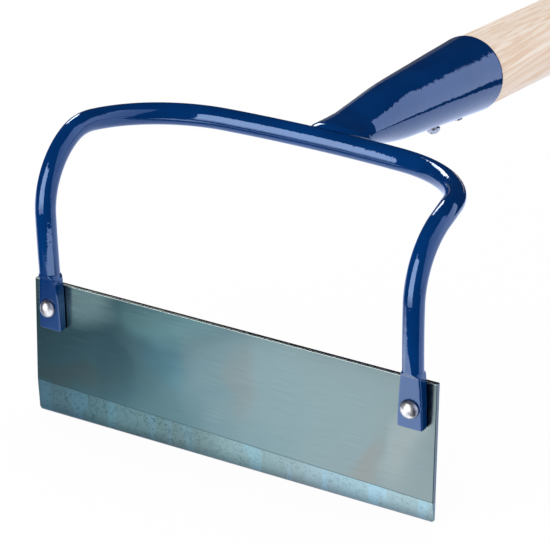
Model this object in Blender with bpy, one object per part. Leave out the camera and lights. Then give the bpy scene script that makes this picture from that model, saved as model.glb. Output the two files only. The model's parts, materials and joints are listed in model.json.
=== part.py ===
"""A draw hoe: a flat steel blade riveted to a bent round bar, whose crossbar is
welded to a tapered socket that holds a long wooden handle.

Everything is placed in the tool's own frame: X runs along the blade, Y runs back
towards the user, Z runs up the blade from its cutting edge. That frame is then
tipped by a degree or so, so that the tool lies on the ground on its cutting edge
and on the end of its handle. All sizes are in metres.
"""

import math

import bmesh
import bpy
from mathutils import Matrix, Vector

GAP = 0.0003

# Blade
BLADE_WIDTH = 0.160
BLADE_HEIGHT = 0.0518
BLADE_THICKNESS = 0.0020
BEVEL_HEIGHT_LEFT = 0.0125
BEVEL_HEIGHT_RIGHT = 0.0080
BEVEL_STEPS = 8
EDGE_LAND = 0.0006
BLADE_CORNER = 0.0008
CORNER_LEAN = 0.1

# Bow, bent from one round bar
BAR_RADIUS = 0.0040
LEG_RADIUS = 0.0037
LEG_SPACING = 0.0724
LEG_Y = -0.0037
LEG_LEAN = 0.0012
BEND_START_Z = 0.0801
BEND_RADIUS = 0.0253
BEND_ANGLE = math.radians(94.2)
CORNER_RADIUS = 0.0415
CROWN_ANGLE = math.radians(5.5)
BOW_REACH = 0.0734
BAR_SIDES = 16
STRAIGHT_STEPS = 12
CORNER_STEPS = 16
CROWN_STEPS = 4

# Lugs, forged at the two ends of the bow: wedges that are wider and thinner at their foot
LUG_SPACING = 0.0721
LUG_FOOT_Z = 0.0351
LUG_TOP_Z = 0.0560
LUG_WIDTH = 0.0089
LUG_TOP_WIDTH = 0.0068
LUG_WIDENING = 1.8
LUG_THICKNESS = 0.0036
LUG_TOP_THICKNESS = 0.0050
LUG_FOOT_ROUND = 0.0006
LUG_FOOT_INSET_X = 0.0007
LUG_FOOT_INSET_Y = 0.0005
LUG_SHOULDER = 0.0012
LUG_TO_LEG = 0.0007
LUG_SQUARENESS = 5.0
LUG_TOP_SQUARENESS = 3.0
LUG_STEPS = 4
LEG_STEPS = 3

# Rivets, each in a seat struck into its lug
RIVET_Z = 0.0428
RIVET_SHIFT = 0.0003
SEAT_RADIUS = 0.0042
SEAT_THICKNESS = 0.00385
RIVET_SHANK_RADIUS = 0.0020
RIVET_HEAD_RADIUS = 0.0037
RIVET_HEAD_HEIGHT = 0.0024
RIVET_TAIL_RADIUS = 0.0034
RIVET_TAIL_HEIGHT = 0.0015
RIVET_SIDES = 24

# Socket, a tapered tube whose nose is pressed flat
SOCKET_X = 0.0050
SOCKET_DIP = math.radians(4.3)
RIM_Y = 0.1608
RIM_Z = 0.0950
SOCKET_LENGTH = 0.1015
SOCKET_WALL = 0.0013
RIM_RADIUS = 0.0147
NOSE_HALF_WIDTH = 0.0088
NOSE_TOP = 0.0052
NOSE_BOTTOM = 0.0045
FLATTENING_START = 0.055
CONE_MIDDLE = 0.030
BORE_NARROWS = 0.070
SOCKET_BORE_DEPTH = 0.084
SOCKET_SIDES = 40
NOSE_STEPS = 8

# Handle
HANDLE_RADIUS = 0.0140
HANDLE_LENGTH = 1.400
HANDLE_INSERTION = 0.078
SHOULDER_LENGTH = 0.0020
BUTT_ROUNDING = 0.0060
BUTT_STEPS = 6
POLE_THIRDS = (0.33, 0.66)
HANDLE_SIDES = 32

# Fasteners of the handle, measured back from the rim and round from straight down
FASTENER_TURN = math.radians(14)
SCREW_FROM_RIM = 0.0320
SCREW_SHANK_RADIUS = 0.0015
SCREW_LENGTH = 0.0180
SCREW_HEAD_RADIUS = 0.0026
SCREW_HEAD_HEIGHT = 0.0022
SCREW_SLOT_WIDTH = 0.0008
SCREW_SLOT_DEPTH = 0.0009
NAIL_FROM_RIM = 0.0128
NAIL_SHANK_RADIUS = 0.0008
NAIL_LENGTH = 0.0130
NAIL_HEAD_RADIUS = 0.0016
NAIL_HEAD_HEIGHT = 0.0005
NAIL_HEAD_TOP = 0.8
POINT_LENGTH = 3
POINT_RADIUS = 0.15
FASTENER_SIDES = 24

# Weld beads between the socket's nose and the crossbar
WELD_RADIUS = 0.0027
UNDER_WELD_RADIUS = 0.0014
WELD_LEFT_ANGLE = math.radians(170)
WELD_RIGHT_ANGLE = math.radians(20)
UNDER_WELD_RIGHT_ANGLE = math.radians(60)
WELD_SUNK = 0.4
WELD_START = 0.25
WELD_SWELLS = 1.4
WELD_END = 0.30
WELD_FADES = 3.2
WELD_RIPPLE = 0.12
WELD_RIPPLES = 9
WELD_TAIL = 0.0095
WELD_TAIL_CLOSES = 0.0009
WELD_STEPS = 26
WELD_TAIL_STEPS = 6
WELD_SIDES = 10
BAR_FACETS = 0.0001

CROWN_OF_DOME = math.radians(84)

ACROSS = Vector((1, 0, 0))
BACK = Vector((0, 1, 0))


def make_material(name, colour, roughness, metallic):
    material = bpy.data.materials.new(name)
    material.use_nodes = True
    shader = material.node_tree.nodes["Principled BSDF"]
    shader.inputs["Base Color"].default_value = (*colour, 1.0)
    shader.inputs["Roughness"].default_value = roughness
    shader.inputs["Metallic"].default_value = metallic
    return material


def add_object(name, bm, material, parent):
    """Makes an object from a bmesh, with its faces turned outwards and shaded smooth."""
    bmesh.ops.recalc_face_normals(bm, faces=bm.faces)
    mesh = bpy.data.meshes.new(name)
    bm.to_mesh(mesh)
    bm.free()
    mesh.shade_smooth()
    mesh.set_sharp_from_angle(angle=math.radians(35))
    obj = bpy.data.objects.new(name, mesh)
    bpy.context.collection.objects.link(obj)
    obj.parent = parent
    if material:
        mesh.materials.append(material)
    return obj


def add_loft(bm, rings):
    """Skins a row of rings that have equally many points, and closes both ends."""
    loops = [[bm.verts.new(point) for point in ring] for ring in rings]
    count = len(loops[0])
    for near, far in zip(loops, loops[1:]):
        for i in range(count):
            j = (i + 1) % count
            bm.faces.new((near[i], near[j], far[j], far[i]))
    bm.faces.new(loops[0])
    bm.faces.new(reversed(loops[-1]))


def oval_ring(centre, side, up, half_width, half_height, count, power=2.0):
    """A closed oval: power 2 is an ellipse, and a higher power squares its corners."""
    ring = []
    for i in range(count):
        angle = 2 * math.pi * i / count
        across, along = math.cos(angle), math.sin(angle)
        across = math.copysign(abs(across) ** (2 / power), across) * half_width
        along = math.copysign(abs(along) ** (2 / power), along) * half_height
        ring.append(centre + side * across + up * along)
    return ring


def turned_rings(profile, base, axis, side, count):
    """Rings of a turned piece. The profile lists (distance along the axis, radius)."""
    up = axis.cross(side)
    return [oval_ring(base + axis * along, side, up, radius, radius, count) for along, radius in profile]


def add_turned(name, profile, base, axis, side, count, material, parent):
    bm = bmesh.new()
    add_loft(bm, turned_rings(profile, base, axis, side, count))
    return add_object(name, bm, material, parent)


def cut(obj, cutter):
    cutter.hide_render = True
    cutter.display_type = "WIRE"
    modifier = obj.modifiers.new(f"less {cutter.name}", "BOOLEAN")
    modifier.operation = "DIFFERENCE"
    modifier.object = cutter


def dome(start, radius, height, steps):
    """Profile points of a domed head, from its edge to a small flat at its crown."""
    turns = [CROWN_OF_DOME * i / steps for i in range(steps + 1)]
    return [(start + height * math.sin(turn), radius * math.cos(turn)) for turn in turns]


def half_bow_plan():
    """Half of the bow before its legs are bent down, as (x, distance past the bend)."""
    corner_sweep = math.pi / 2 - CROWN_ANGLE
    corner_end_x = LEG_SPACING - CORNER_RADIUS * (1 - math.cos(corner_sweep))
    crown_radius = corner_end_x / math.sin(CROWN_ANGLE)
    crown_rise = crown_radius * (1 - math.cos(CROWN_ANGLE))
    corner_start = BOW_REACH - crown_rise - CORNER_RADIUS * math.sin(corner_sweep)
    plan = [(LEG_SPACING, corner_start * i / STRAIGHT_STEPS) for i in range(STRAIGHT_STEPS)]
    for i in range(CORNER_STEPS):
        turn = corner_sweep * i / CORNER_STEPS
        x = LEG_SPACING - CORNER_RADIUS * (1 - math.cos(turn))
        plan.append((x, corner_start + CORNER_RADIUS * math.sin(turn)))
    for i in range(CROWN_STEPS + 1):
        turn = CROWN_ANGLE * (1 - i / CROWN_STEPS)
        x = crown_radius * math.sin(turn)
        plan.append((x, BOW_REACH - crown_radius * (1 - math.cos(turn))))
    return plan


def rolled(x, reach):
    """Places a point of the flat plan round the bend at the top of the legs."""
    turn = min(reach / BEND_RADIUS, BEND_ANGLE)
    y = LEG_Y + BEND_RADIUS * (1 - math.cos(turn))
    z = BEND_START_Z + BEND_RADIUS * math.sin(turn)
    past = max(0.0, reach - BEND_RADIUS * BEND_ANGLE)
    return Vector((-x, y + past * math.sin(BEND_ANGLE), z + past * math.cos(BEND_ANGLE)))


def leg_lean(z):
    """How far the leg's middle stands behind its upper part: it leans forward as it goes up."""
    share = (BEND_START_Z - z) / (BEND_START_Z - LUG_TOP_Z)
    return LEG_LEAN * share * share


def lug_rings():
    """Sections of the forged end of the left leg, from its foot up to the round bar."""
    rings = []

    def add_ring(z, share, inset_x, inset_y, power):
        """A lug section, at its foot where share is 0 and at its top where share is 1."""
        half_width = (LUG_WIDTH + (LUG_TOP_WIDTH - LUG_WIDTH) * share**LUG_WIDENING) / 2 - inset_x
        half_depth = (LUG_THICKNESS + (LUG_TOP_THICKNESS - LUG_THICKNESS) * share) / 2
        centre = Vector((-LUG_SPACING, -GAP - half_depth, z))
        rings.append(oval_ring(centre, ACROSS, BACK, half_width, half_depth - inset_y, BAR_SIDES, power))

    add_ring(LUG_FOOT_Z, 0.0, LUG_FOOT_INSET_X, LUG_FOOT_INSET_Y, LUG_SQUARENESS)
    start, end = LUG_FOOT_Z + LUG_FOOT_ROUND, LUG_TOP_Z - LUG_SHOULDER
    for i in range(LUG_STEPS + 1):
        share = i / LUG_STEPS
        add_ring(start + (end - start) * share, share, 0.0, 0.0, LUG_SQUARENESS)
    add_ring(LUG_TOP_Z, 1.0, 0.0, 0.0, LUG_TOP_SQUARENESS)
    start = LUG_TOP_Z + LUG_TO_LEG
    for i in range(LEG_STEPS):
        z = start + (BEND_START_Z - start) * i / LEG_STEPS
        centre = Vector((-LEG_SPACING, LEG_Y + leg_lean(z), z))
        rings.append(oval_ring(centre, ACROSS, BACK, LEG_RADIUS, LEG_RADIUS, BAR_SIDES))
    return rings


def swept_rings(path, radii, side, count):
    """Round sections along a path, carried from point to point without twist."""
    rings = []
    for i, (point, radius) in enumerate(zip(path, radii)):
        before = path[max(i - 1, 0)]
        after = path[min(i + 1, len(path) - 1)]
        tangent = (after - before).normalized()
        side = (side - tangent * side.dot(tangent)).normalized()
        rings.append(oval_ring(point, side, tangent.cross(side), radius, radius, count))
    return rings


def make_bow(material, parent):
    """The left half runs from its lug to the middle. The bar is a little thinner in its legs."""
    plan = half_bow_plan()
    path = [rolled(x, reach) for x, reach in plan]
    radii = [LEG_RADIUS + (BAR_RADIUS - LEG_RADIUS) * reach / BOW_REACH for x, reach in plan]
    # A mirrored neighbour past the middle keeps the middle section square to X.
    path.append(Vector((-path[-2].x, path[-2].y, path[-2].z)))
    radii.append(BAR_RADIUS)
    bar = swept_rings(path, radii, ACROSS.copy(), BAR_SIDES)[:-1]
    half = lug_rings() + bar
    mirrored = [[Vector((-p.x, p.y, p.z)) for p in ring] for ring in reversed(half[:-1])]
    bm = bmesh.new()
    add_loft(bm, half + mirrored)
    return add_object("bow", bm, material, parent)


def make_blade(material, parent):
    """A plate with a ground bevel on its front, higher at one end, as a hand-held grind leaves it."""
    half = BLADE_WIDTH / 2
    land_y = BLADE_THICKNESS - EDGE_LAND
    ends = (0, BEVEL_STEPS)
    sections = []
    for i in range(BEVEL_STEPS + 1):
        share = i / BEVEL_STEPS
        x = -half + BLADE_WIDTH * share
        bevel = BEVEL_HEIGHT_LEFT + (BEVEL_HEIGHT_RIGHT - BEVEL_HEIGHT_LEFT) * share
        foot = BLADE_CORNER if i in ends else 0.0
        sections.append(
            [
                Vector((x, land_y - foot * CORNER_LEAN, foot)),
                Vector((x, BLADE_THICKNESS, foot)),
                Vector((x, BLADE_THICKNESS, BLADE_HEIGHT)),
                Vector((x, 0.0, BLADE_HEIGHT)),
                Vector((x, 0.0, bevel)),
            ]
        )
        if i in ends:
            inner = x + BLADE_CORNER * (1 if i == 0 else -1)
            square = [Vector((inner, point.y, point.z)) for point in sections[-1]]
            square[0] = Vector((inner, land_y, 0.0))
            square[1] = Vector((inner, BLADE_THICKNESS, 0.0))
            sections.insert(len(sections) if i == 0 else -1, square)
    bm = bmesh.new()
    add_loft(bm, sections)
    return add_object("blade", bm, material, parent)


def rivet_base(sign):
    """Where a rivet's axis meets the blade's front."""
    return Vector((sign * LUG_SPACING + RIVET_SHIFT, 0.0, RIVET_Z))


def rivet_hole(sign, parent):
    reach = 0.012
    profile = [(-reach, RIVET_SHANK_RADIUS + GAP), (reach, RIVET_SHANK_RADIUS + GAP)]
    name = f"rivet hole {'right' if sign > 0 else 'left'}"
    return add_turned(name, profile, rivet_base(sign), BACK, ACROSS, RIVET_SIDES, None, parent)


def rivet_seat(sign, parent):
    """What is struck out of a lug's sloping front, so that its rivet's head sits square."""
    reach = 0.010
    profile = [(GAP + SEAT_THICKNESS, SEAT_RADIUS), (reach, SEAT_RADIUS)]
    name = f"rivet seat {'right' if sign > 0 else 'left'}"
    return add_turned(name, profile, rivet_base(sign), -BACK, ACROSS, RIVET_SIDES, None, parent)


def make_rivet(sign, material, parent):
    """Domed head in front of the lug, shank through lug and blade, low tail behind."""
    head_base = SEAT_THICKNESS + 2 * GAP
    tail_base = -BLADE_THICKNESS - GAP
    tail = dome(-tail_base, RIVET_TAIL_RADIUS, RIVET_TAIL_HEIGHT, 4)
    profile = [(-along, radius) for along, radius in reversed(tail)]
    profile += [(tail_base, RIVET_SHANK_RADIUS), (head_base, RIVET_SHANK_RADIUS)]
    profile += dome(head_base, RIVET_HEAD_RADIUS, RIVET_HEAD_HEIGHT, 6)
    name = f"rivet_{'right' if sign > 0 else 'left'}"
    return add_turned(name, profile, rivet_base(sign), -BACK, ACROSS, RIVET_SIDES, material, parent)


def socket_axes():
    """Rim centre, and the socket's directions: back along the handle, and up."""
    back = Vector((0, math.cos(SOCKET_DIP), -math.sin(SOCKET_DIP)))
    return Vector((SOCKET_X, RIM_Y, RIM_Z)), back, ACROSS.cross(back)


def socket_section(before_rim):
    """Middle, half width and half height of the skin at a distance before the rim.

    The nose is pressed a little more from below than from above.
    """
    rim, back, up = socket_axes()
    width = RIM_RADIUS + (NOSE_HALF_WIDTH - RIM_RADIUS) * before_rim / SOCKET_LENGTH
    share = max(0.0, before_rim - FLATTENING_START) / (SOCKET_LENGTH - FLATTENING_START)
    share = min(share, 1.0)
    pressed = share * share * (3 - 2 * share)
    top = width - (NOSE_HALF_WIDTH - NOSE_TOP) * pressed
    bottom = width - (NOSE_HALF_WIDTH - NOSE_BOTTOM) * pressed
    middle = rim - back * before_rim + up * (top - bottom) / 2
    return middle, width, (top + bottom) / 2


def socket_ring(before_rim, growth):
    """A ring round the socket, this much outside its skin, or inside where growth is below 0."""
    up = socket_axes()[2]
    middle, width, height = socket_section(before_rim)
    return oval_ring(middle, ACROSS, up, width + growth, height + growth, SOCKET_SIDES)


def socket_stations(start, end, steps):
    return [start + (end - start) * i / steps for i in range(steps + 1)]


def make_socket(material, parent):
    """The outer skin runs from nose to rim, and the bore runs back in from the rim."""
    stations = socket_stations(SOCKET_LENGTH, FLATTENING_START, NOSE_STEPS) + [CONE_MIDDLE, 0.0]
    rings = [socket_ring(station, 0.0) for station in stations]
    bore = [0.0, CONE_MIDDLE, FLATTENING_START] + socket_stations(BORE_NARROWS, SOCKET_BORE_DEPTH, 2)
    rings += [socket_ring(station, -SOCKET_WALL) for station in bore]
    bm = bmesh.new()
    add_loft(bm, rings)
    return add_object("socket", bm, material, parent)


def nose_cutter(parent, name):
    """The socket's nose, grown by the gap."""
    bm = bmesh.new()
    stations = socket_stations(SOCKET_LENGTH + GAP, FLATTENING_START, NOSE_STEPS)
    add_loft(bm, [socket_ring(station, GAP) for station in stations])
    return add_object(name, bm, None, parent)


def crossbar_cutter(parent, name):
    """A straight bar a little fatter than the crossbar, along its middle."""
    middle = rolled(0.0, BOW_REACH)
    reach, sides = 0.030, 32
    radius = BAR_RADIUS + GAP + BAR_FACETS
    profile = [(-reach, radius), (reach, radius)]
    return add_turned(name, profile, middle, ACROSS, BACK, sides, None, parent)


def weld_path(top):
    """The bead's middle, a little inside the nose's skin. The upper one runs on along the bar."""
    up = socket_axes()[2]
    nose, half_width, half_height = socket_section(SOCKET_LENGTH)
    sign = 1 if top else -1
    first, last = WELD_LEFT_ANGLE, WELD_RIGHT_ANGLE if top else UNDER_WELD_RIGHT_ANGLE
    sunk = (WELD_RADIUS if top else UNDER_WELD_RADIUS) * WELD_SUNK
    half_width -= sunk
    half_height -= sunk
    path = []
    for i in range(WELD_STEPS + 1):
        angle = first + (last - first) * i / WELD_STEPS
        offset = ACROSS * (half_width * math.cos(angle)) + up * (sign * half_height * math.sin(angle))
        path.append(nose + offset)
    tail_steps = WELD_TAIL_STEPS if top else 0
    for i in range(1, tail_steps + 1):
        along = i / tail_steps
        path.append(path[WELD_STEPS] + Vector((WELD_TAIL * along, -WELD_TAIL_CLOSES * along, 0.0)))
    return path


def make_weld(top, material, parent):
    """A rippled bead round the upper or lower half of the nose, against the crossbar."""
    back = socket_axes()[1]
    bead_radius = WELD_RADIUS if top else UNDER_WELD_RADIUS
    path = weld_path(top)
    rings = []
    for i, point in enumerate(path):
        share = i / (len(path) - 1)
        taper = min(1.0, WELD_START + WELD_SWELLS * share, WELD_END + WELD_FADES * (1 - share))
        ripple = 1 + WELD_RIPPLE * math.cos(2 * math.pi * WELD_RIPPLES * share)
        before = path[max(i - 1, 0)]
        after = path[min(i + 1, len(path) - 1)]
        tangent = (after - before).normalized()
        across = (back - tangent * back.dot(tangent)).normalized()
        radius = bead_radius * taper * ripple
        rings.append(oval_ring(point, across, tangent.cross(across), radius, radius, WELD_SIDES))
    bm = bmesh.new()
    add_loft(bm, rings)
    name = "weld_top" if top else "weld_bottom"
    weld = add_object(name, bm, material, parent)
    cut(weld, nose_cutter(parent, f"{name} nose room"))
    cut(weld, crossbar_cutter(parent, f"{name} bar room"))
    return weld


def make_handle(material, parent):
    """A tapered end that fills the socket's bore, then a long round pole with a rounded butt."""
    rim, back, up = socket_axes()
    clearance = SOCKET_WALL + GAP
    rings = []
    for before_rim in socket_stations(HANDLE_INSERTION, 0.0, 6):
        middle, width, height = socket_section(before_rim)
        # These rings run round the same way as those of turned_rings below.
        rings.append(oval_ring(middle, ACROSS, -up, width - clearance, height - clearance, HANDLE_SIDES))
    beyond = HANDLE_LENGTH - HANDLE_INSERTION
    profile = [(SHOULDER_LENGTH, HANDLE_RADIUS)]
    profile += [(beyond * share, HANDLE_RADIUS) for share in POLE_THIRDS]
    for i in range(BUTT_STEPS + 1):
        turn = math.pi / 2 * i / BUTT_STEPS
        radius = HANDLE_RADIUS - BUTT_ROUNDING * (1 - math.cos(turn))
        profile.append((beyond - BUTT_ROUNDING * (1 - math.sin(turn)), radius))
    rings += turned_rings(profile, rim, back, ACROSS, HANDLE_SIDES)
    bm = bmesh.new()
    add_loft(bm, rings)
    return add_object("handle", bm, material, parent)


def fastener_axes(before_rim):
    """A point on the socket's skin, the direction out of it, and the direction back along it."""
    rim, back, up = socket_axes()
    out = ACROSS * math.sin(FASTENER_TURN) - up * math.cos(FASTENER_TURN)
    skin_radius = socket_section(before_rim)[1]
    return rim - back * before_rim + out * skin_radius, out, back


def make_fastener(name, before_rim, shank_radius, length, head, material, parent):
    """Head outside the socket and a pointed shank through it into the wood."""
    base, out, back = fastener_axes(before_rim)
    point_length = POINT_LENGTH * shank_radius
    profile = [(-length, shank_radius * POINT_RADIUS), (-length + point_length, shank_radius)]
    profile += [(GAP, shank_radius)] + head
    return add_turned(name, profile, base, out, back, FASTENER_SIDES, material, parent)


def fastener_hole(name, before_rim, radius, length, parent):
    base, out, back = fastener_axes(before_rim)
    reach = 0.004
    profile = [(-length - GAP, radius + GAP), (reach, radius + GAP)]
    return add_turned(name, profile, base, out, back, FASTENER_SIDES, None, parent)


def screw_slot(parent):
    """A box that cuts the driver slot into the screw's head."""
    base, out, back = fastener_axes(SCREW_FROM_RIM)
    bm = bmesh.new()
    bmesh.ops.create_cube(bm, size=1.0)
    length, half_height = 0.02, 0.002
    depth = GAP + SCREW_HEAD_HEIGHT - SCREW_SLOT_DEPTH + half_height
    side = out.cross(back)
    turn = Matrix((back * length, side * SCREW_SLOT_WIDTH, out * 2 * half_height)).transposed()
    bmesh.ops.transform(bm, matrix=turn.to_4x4(), verts=bm.verts)
    bmesh.ops.translate(bm, vec=base + out * depth, verts=bm.verts)
    return add_object("screw slot cutter", bm, None, parent)


def tip_onto_ground(parent):
    """Turns the tool about X until cutting edge and butt touch one level plane.

    Then it puts the middle of the bounding box's floor at the origin.
    """
    rim, back, up = socket_axes()
    butt = rim + back * (HANDLE_LENGTH - HANDLE_INSERTION - BUTT_ROUNDING)
    butt = butt - up * (HANDLE_RADIUS - BUTT_ROUNDING)
    edge_y = BLADE_THICKNESS - EDGE_LAND
    run, rise = butt.y - edge_y, butt.z
    slope = math.atan2(rise, run) - math.asin(BUTT_ROUNDING / math.hypot(run, rise))
    parent.rotation_euler = (-slope, 0.0, 0.0)
    bpy.context.view_layer.update()
    graph = bpy.context.evaluated_depsgraph_get()
    points = []
    for obj in bpy.context.collection.objects:
        if obj.type == "MESH" and not obj.hide_render:
            found = obj.evaluated_get(graph)
            points += [found.matrix_world @ vertex.co for vertex in found.data.vertices]
    low = [min(point[k] for point in points) for k in range(3)]
    high = [max(point[k] for point in points) for k in range(3)]
    parent.location = (-(low[0] + high[0]) / 2, -(low[1] + high[1]) / 2, -low[2])


def main():
    for obj in list(bpy.data.objects):
        bpy.data.objects.remove(obj, do_unlink=True)

    enamel = make_material("blue_enamel", (0.004, 0.03, 0.14), 0.16, 0.0)
    ground_steel = make_material("ground_steel", (0.38, 0.46, 0.50), 0.32, 1.0)
    bright_steel = make_material("bright_steel", (0.75, 0.77, 0.78), 0.22, 1.0)
    ash = make_material("ash_wood", (0.80, 0.66, 0.48), 0.55, 0.0)

    tool = bpy.data.objects.new("tool_frame", None)
    bpy.context.collection.objects.link(tool)

    blade = make_blade(ground_steel, tool)
    bow = make_bow(enamel, tool)
    for sign in (-1, 1):
        hole = rivet_hole(sign, tool)
        cut(blade, hole)
        cut(bow, hole)
        cut(bow, rivet_seat(sign, tool))
        make_rivet(sign, bright_steel, tool)

    socket = make_socket(enamel, tool)
    make_weld(True, enamel, tool)
    make_weld(False, enamel, tool)
    handle = make_handle(ash, tool)

    screw_hole = fastener_hole("screw hole", SCREW_FROM_RIM, SCREW_SHANK_RADIUS, SCREW_LENGTH, tool)
    nail_hole = fastener_hole("nail hole", NAIL_FROM_RIM, NAIL_SHANK_RADIUS, NAIL_LENGTH, tool)
    for hole in (screw_hole, nail_hole):
        cut(socket, hole)
        cut(handle, hole)
    screw_head = dome(GAP, SCREW_HEAD_RADIUS, SCREW_HEAD_HEIGHT, 6)
    screw = make_fastener(
        "socket_screw", SCREW_FROM_RIM, SCREW_SHANK_RADIUS, SCREW_LENGTH, screw_head, bright_steel, tool
    )
    cut(screw, screw_slot(tool))
    nail_head = [(GAP, NAIL_HEAD_RADIUS), (GAP + NAIL_HEAD_HEIGHT, NAIL_HEAD_RADIUS * NAIL_HEAD_TOP)]
    make_fastener(
        "socket_nail", NAIL_FROM_RIM, NAIL_SHANK_RADIUS, NAIL_LENGTH, nail_head, bright_steel, tool
    )
    tip_onto_ground(tool)


main()
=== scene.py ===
"""Dresses the draw hoe: fine meshes and finishes for its enamelled bow and socket, its
ground blade, its bright fasteners and its ash handle, in a white studio.

Pieces are drawn in the tool's own frame, in metres: X along the blade, Y back towards
the user, Z up from the cutting edge. They are then tipped onto the ground as the frame
has them.
"""

import json
import math

import bmesh
import bpy
from mathutils import Matrix, Vector, noise


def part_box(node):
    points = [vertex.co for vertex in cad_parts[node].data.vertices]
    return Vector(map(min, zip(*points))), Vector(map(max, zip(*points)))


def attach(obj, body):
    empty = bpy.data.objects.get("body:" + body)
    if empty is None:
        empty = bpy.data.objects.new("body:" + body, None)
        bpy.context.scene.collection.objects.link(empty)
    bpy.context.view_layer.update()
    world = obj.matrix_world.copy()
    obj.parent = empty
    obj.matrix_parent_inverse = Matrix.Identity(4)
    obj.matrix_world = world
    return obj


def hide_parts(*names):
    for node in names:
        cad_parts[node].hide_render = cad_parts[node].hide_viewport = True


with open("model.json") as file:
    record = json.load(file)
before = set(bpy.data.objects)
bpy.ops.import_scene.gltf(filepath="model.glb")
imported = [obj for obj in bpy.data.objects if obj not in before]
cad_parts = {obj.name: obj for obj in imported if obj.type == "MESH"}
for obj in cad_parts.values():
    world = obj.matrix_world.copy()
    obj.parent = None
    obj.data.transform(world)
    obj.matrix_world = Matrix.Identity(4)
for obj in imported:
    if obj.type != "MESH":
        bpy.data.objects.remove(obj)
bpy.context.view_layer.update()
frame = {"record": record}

GAP = 0.0003

# Blade
BLADE_WIDTH = 0.160
BLADE_HEIGHT = 0.0518
BLADE_THICKNESS = 0.0020
BEVEL_HEIGHT_LEFT = 0.0125
BEVEL_HEIGHT_RIGHT = 0.0080
EDGE_LAND = 0.0006
HONED_HEIGHT = 0.00045
HONED_DEPTH = 0.00110
BLADE_CORNER = 0.0008

# Bow
BAR_RADIUS = 0.0040
LEG_RADIUS = 0.0037
LEG_SPACING = 0.0724
LEG_Y = -0.0037
LUG_SPACING = 0.0721
LUG_FOOT_Z = 0.0351
LUG_TOP_Z = 0.0560
LUG_WIDENING = 1.8
LUG_THICKNESS = 0.0034
LUG_TOP_THICKNESS = 0.0048
LUG_FOOT_ROUND = 0.0005
LUG_SHOULDER = 0.0016
LUG_SQUARENESS = 16.0
RUNOUT_LENGTH = 0.0065
RUNOUT_DEPTH = 0.00027
# Each leg's own sizes: widths of its lug and shifts inwards (at the foot, at the top), how much
# the right of the lug's front is drawn in at its top, and how far the leg stands back there
LEFT_LEG = {
    "widths": (0.0087, 0.0069),
    "inwards": (0.0010, 0.0011),
    "drawn in": 0.30,
    "lean": 0.0018,
    "lean power": 1.2,
}
RIGHT_LEG = {
    "widths": (0.0094, 0.0074),
    "inwards": (0.0002, -0.0001),
    "drawn in": 0.0,
    "lean": 0.0010,
    "lean power": 2.0,
}
BEND_START_Z = 0.0801
BEND_RADIUS = 0.0253
BEND_ANGLE = math.radians(94.2)
CORNER_RADIUS = 0.0415
CROWN_ANGLE = math.radians(5.5)
BOW_REACH = 0.0734

# Rivets, each in a seat struck into its lug
RIVET_Z = 0.0428
RIVET_SHIFT = 0.0003
RIVET_SHANK_RADIUS = 0.0020
RIVET_HEAD_RADIUS = 0.0034
RIVET_HEAD_HEIGHT = 0.0024
RIVET_TAIL_RADIUS = 0.0034
RIVET_TAIL_HEIGHT = 0.0015
LEFT_RIVET_HALF_WIDTH = 0.0029
LEFT_RIVET_HIGHER = 0.0008
SEAT_THICKNESS = 0.00385
SEAT_WIDTH = 0.0005
SEAT_OFFSET = 0.00025
SEAT_REACH = 0.010

# Socket
SOCKET_X = 0.0050
SOCKET_DIP = math.radians(4.3)
RIM_Y = 0.1608
RIM_Z = 0.0950
SOCKET_LENGTH = 0.1015
SOCKET_WALL = 0.0013
RIM_RADIUS = 0.0147
NOSE_HALF_WIDTH = 0.0088
NOSE_TOP = 0.0052
NOSE_BOTTOM = 0.0045
FLATTENING_START = 0.055
SOCKET_BORE_DEPTH = 0.084

# Handle
HANDLE_RADIUS = 0.0140
HANDLE_LENGTH = 1.400
HANDLE_INSERTION = 0.078
SHOULDER_LENGTH = 0.0020
BUTT_ROUNDING = 0.0060

# Fasteners of the handle
FASTENER_TURN = math.radians(14)
SCREW_FROM_RIM = 0.0320
SCREW_SHANK_RADIUS = 0.0015
SCREW_LENGTH = 0.0180
SCREW_HEAD_RADIUS = 0.0026
SCREW_HEAD_HEIGHT = 0.0022
SCREW_SLOT_WIDTH = 0.0008
SCREW_SLOT_DEPTH = 0.0009
NAIL_FROM_RIM = 0.0128
NAIL_SHANK_RADIUS = 0.0008
NAIL_LENGTH = 0.0130
NAIL_HEAD_RADIUS = 0.0016
NAIL_HEAD_HEIGHT = 0.0005

# Welds: a fillet over the nose and onto the crossbar, and a bead below
SEAM = 0.0001
MOUND_FROM = math.radians(176)
MOUND_TO = math.radians(3)
MOUND_HEIGHT = 0.0004
MOUND_BACK = 0.0160
MOUND_FRONT = 0.0046
MOUND_FALL = 0.0012
MOUND_LEFT_FLARE = -0.0005
MOUND_RIGHT_FLARE = 0.0120
MOUND_SUNK = 0.0024
UNDER_WELD_RADIUS = 0.0014
WELD_RIPPLE = 0.12
WELD_RIPPLES = 9

ACROSS = Vector((1, 0, 0))
BACK = Vector((0, 1, 0))
UP = Vector((0, 0, 1))


def tool_place():
    """Where the tool's own frame stands in the frame: tipped, and moved back from its middle."""
    butt_axis = frame["record"]["mounts"][0]["axis"]
    tip = SOCKET_DIP - math.atan2(-butt_axis[2], butt_axis[1])
    turn = Matrix.Rotation(tip, 4, "X")
    blade_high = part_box("blade")[1]
    back_edge = turn @ Vector((0, BLADE_THICKNESS, 0))
    top_edge = turn @ Vector((0, BLADE_THICKNESS, BLADE_HEIGHT))
    shift = Vector((0, blade_high[1] - back_edge.y, blade_high[2] - top_edge.z))
    return Matrix.Translation(shift) @ turn


# Node helpers

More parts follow.
